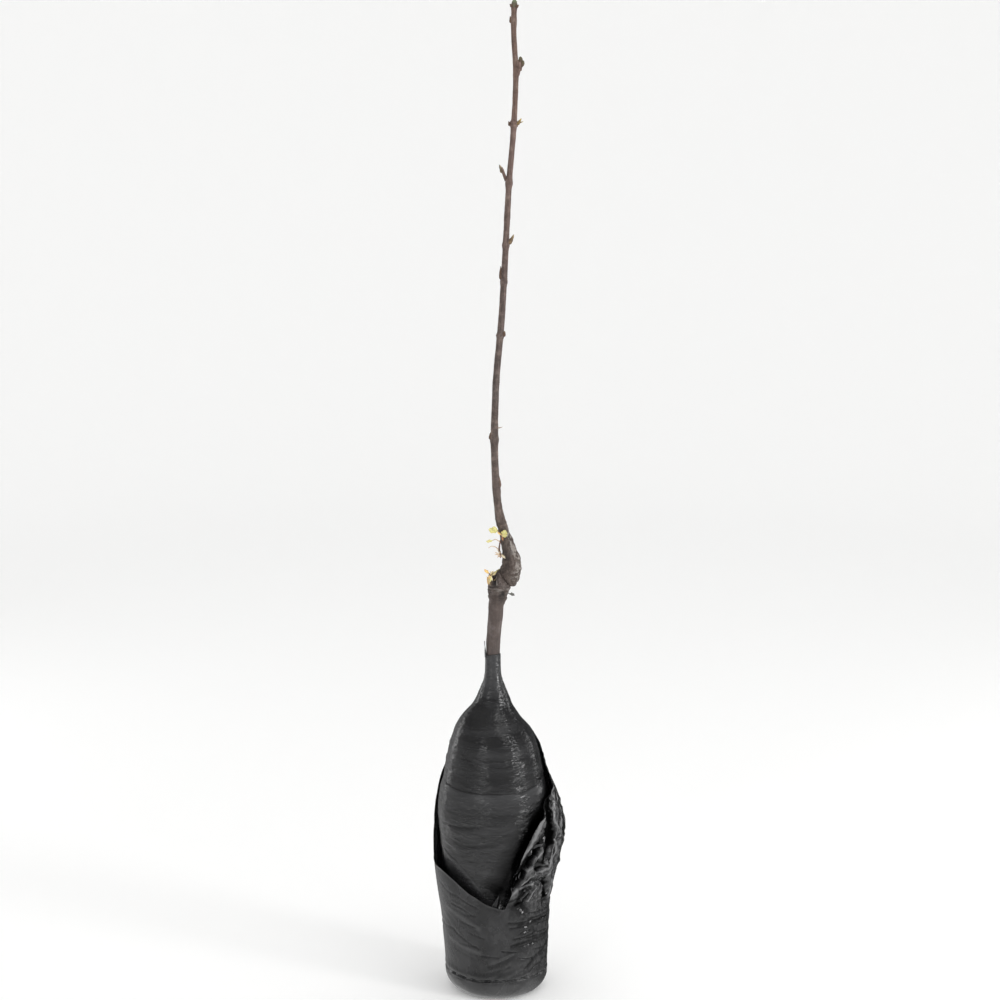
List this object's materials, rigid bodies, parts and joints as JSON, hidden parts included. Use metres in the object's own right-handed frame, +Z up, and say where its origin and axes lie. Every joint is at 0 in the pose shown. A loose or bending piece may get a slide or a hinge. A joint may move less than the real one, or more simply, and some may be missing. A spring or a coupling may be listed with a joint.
{
  "type": "grafted cherry sapling with wrapped root ball",
  "caption": "Bare grafted young cherry stem with a swollen graft knee, withered leaf tufts and buds, its root ball wound in black stretch film and set in a black polythene bag.",
  "frame": {"origin": "middle of the bag's flat underside, on the ground", "axes": "+Z up; -Y is the front, the side the picture shows; +X is to the right in the picture"},
  "size_m": [0.1679, 0.1469, 1.254],
  "materials": {
    "polythene": "creased black polythene, half gloss",
    "stretch_film": "black stretch film in fine tight wrinkles, glossy",
    "soil": "damp peaty growing medium, matt",
    "old_bark": "grey brown rootstock bark, smooth with small lenticels, matt",
    "graft_bark": "dark scaly callused bark with grey scuffs, matt",
    "young_bark": "reddish brown one year old bark, half matt",
    "bud_scale": "dry brown bud scales, matt",
    "yellow_leaf": "withering yellow green leaf, matt",
    "dry_leaf": "dry beige leaf stalks and scraps, matt",
    "withered": "dark withered bud, matt"
  },
  "bodies": {
    "root": {"outer_bag": "polythene", "stretch_film": "stretch_film", "film_tail": "stretch_film", "root_ball": "soil", "rootstock_stem": "old_bark", "graft_knee": "graft_bark", "leader": "young_bark", "tip_bud": "bud_scale", "bud_under_tip": "bud_scale", "spur_top": "bud_scale", "bud_yellow": "bud_scale", "bud_yellow_side": "bud_scale", "spur_left": "bud_scale", "bud_right": "bud_scale", "bud_back_high": "bud_scale", "bud_left": "bud_scale", "bud_ring": "bud_scale", "bud_back_low": "bud_scale", "bud_flush_left": "bud_scale", "leaf_scar_stub": "bud_scale", "bud_ridge": "bud_scale", "upper_leaf_tuft": "yellow_leaf", "side_shoot": "dry_leaf", "lower_leaf_tuft": "yellow_leaf", "withered_bud": "withered"}
  },
  "joints": []
}
